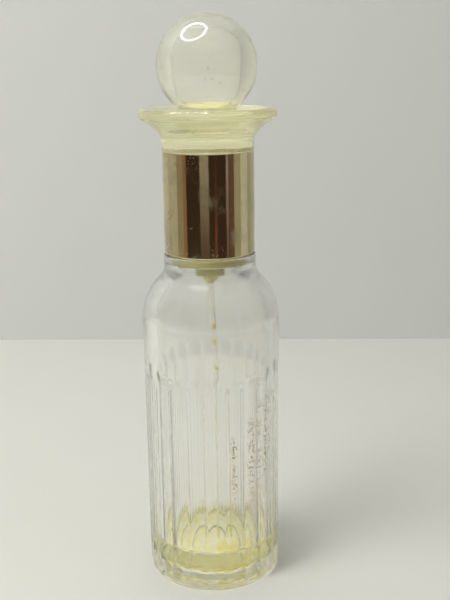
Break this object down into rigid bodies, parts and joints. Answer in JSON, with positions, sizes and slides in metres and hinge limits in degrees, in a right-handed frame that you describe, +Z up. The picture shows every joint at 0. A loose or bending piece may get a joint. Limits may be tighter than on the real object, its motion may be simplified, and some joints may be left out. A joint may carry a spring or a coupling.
{
  "type": "aftershave spray bottle",
  "caption": "Tall round glass bottle with vertical flutes, a crimped spray pump inside, and a lift-off cap: a clear ball and flared collar on a gilt metal sleeve.",
  "frame": {"origin": "centre of the base, on the surface that the bottle stands on", "axes": "+Z up along the bottle's axis, -Y the way the spray nozzle faces, +X to the right seen from the front"},
  "size_m": [0.04, 0.04, 0.1656],
  "materials": {
    "glass": "clear moulded glass with ground-out flutes, dusty at the foot",
    "liquid": "yellow liquid left in the foot of the bottle",
    "gasket_rubber": "matt",
    "aged_plastic": "yellowed translucent plastic",
    "steel": "polished",
    "white_plastic": "satin",
    "tube_plastic": "clear tube, yellowed",
    "gilt_metal": "polished champagne gilt, lightly tarnished",
    "clear_plastic": "clear moulded plastic, yellowed with age, small dark specks"
  },
  "bodies": {
    "bottle": {"glass_bottle": "glass", "aftershave_residue": "liquid", "neck_gasket": "gasket_rubber", "pump_housing": "aged_plastic", "return_spring": "steel", "stem_guide": "white_plastic", "stem_gasket": "gasket_rubber", "dip_tube": "tube_plastic", "crimp_ferrule": "gilt_metal", "trim_collar": "gilt_metal"},
    "inlet_valve": {"inlet_ball": "steel"},
    "pump_plunger": {"pump_stem": "white_plastic", "piston_seal": "white_plastic", "outlet_poppet": "white_plastic"},
    "spray_head": {"spray_head_core": "white_plastic", "spray_head_shell": "gilt_metal", "nozzle_insert": "white_plastic"},
    "cap": {"cap_sleeve": "gilt_metal", "cap_liner": "white_plastic", "cap_flare": "clear_plastic", "cap_ball": "clear_plastic"}
  },
  "joints": [
    {"name": "spray_press", "type": "slide", "parent": "bottle", "child": "pump_plunger", "axis": [0, 0, -1], "range_m": [0, 0.004], "stiffness_N_per_m": 900, "springref_m": -0.003, "deforming": ["return_spring"]},
    {"name": "spray_head_turn", "type": "hinge", "parent": "pump_plunger", "child": "spray_head", "pos_m": [0, 0, 0.122], "axis": [0, 0, 1], "continuous": true},
    {"name": "inlet_ball_lift", "type": "slide", "parent": "bottle", "child": "inlet_valve", "axis": [0, 0, 1], "range_m": [0, 0.001]},
    {"name": "cap_lift", "type": "slide", "parent": "bottle", "child": "cap", "axis": [0, 0, 1], "range_m": [0, 0.035]}
  ]
}
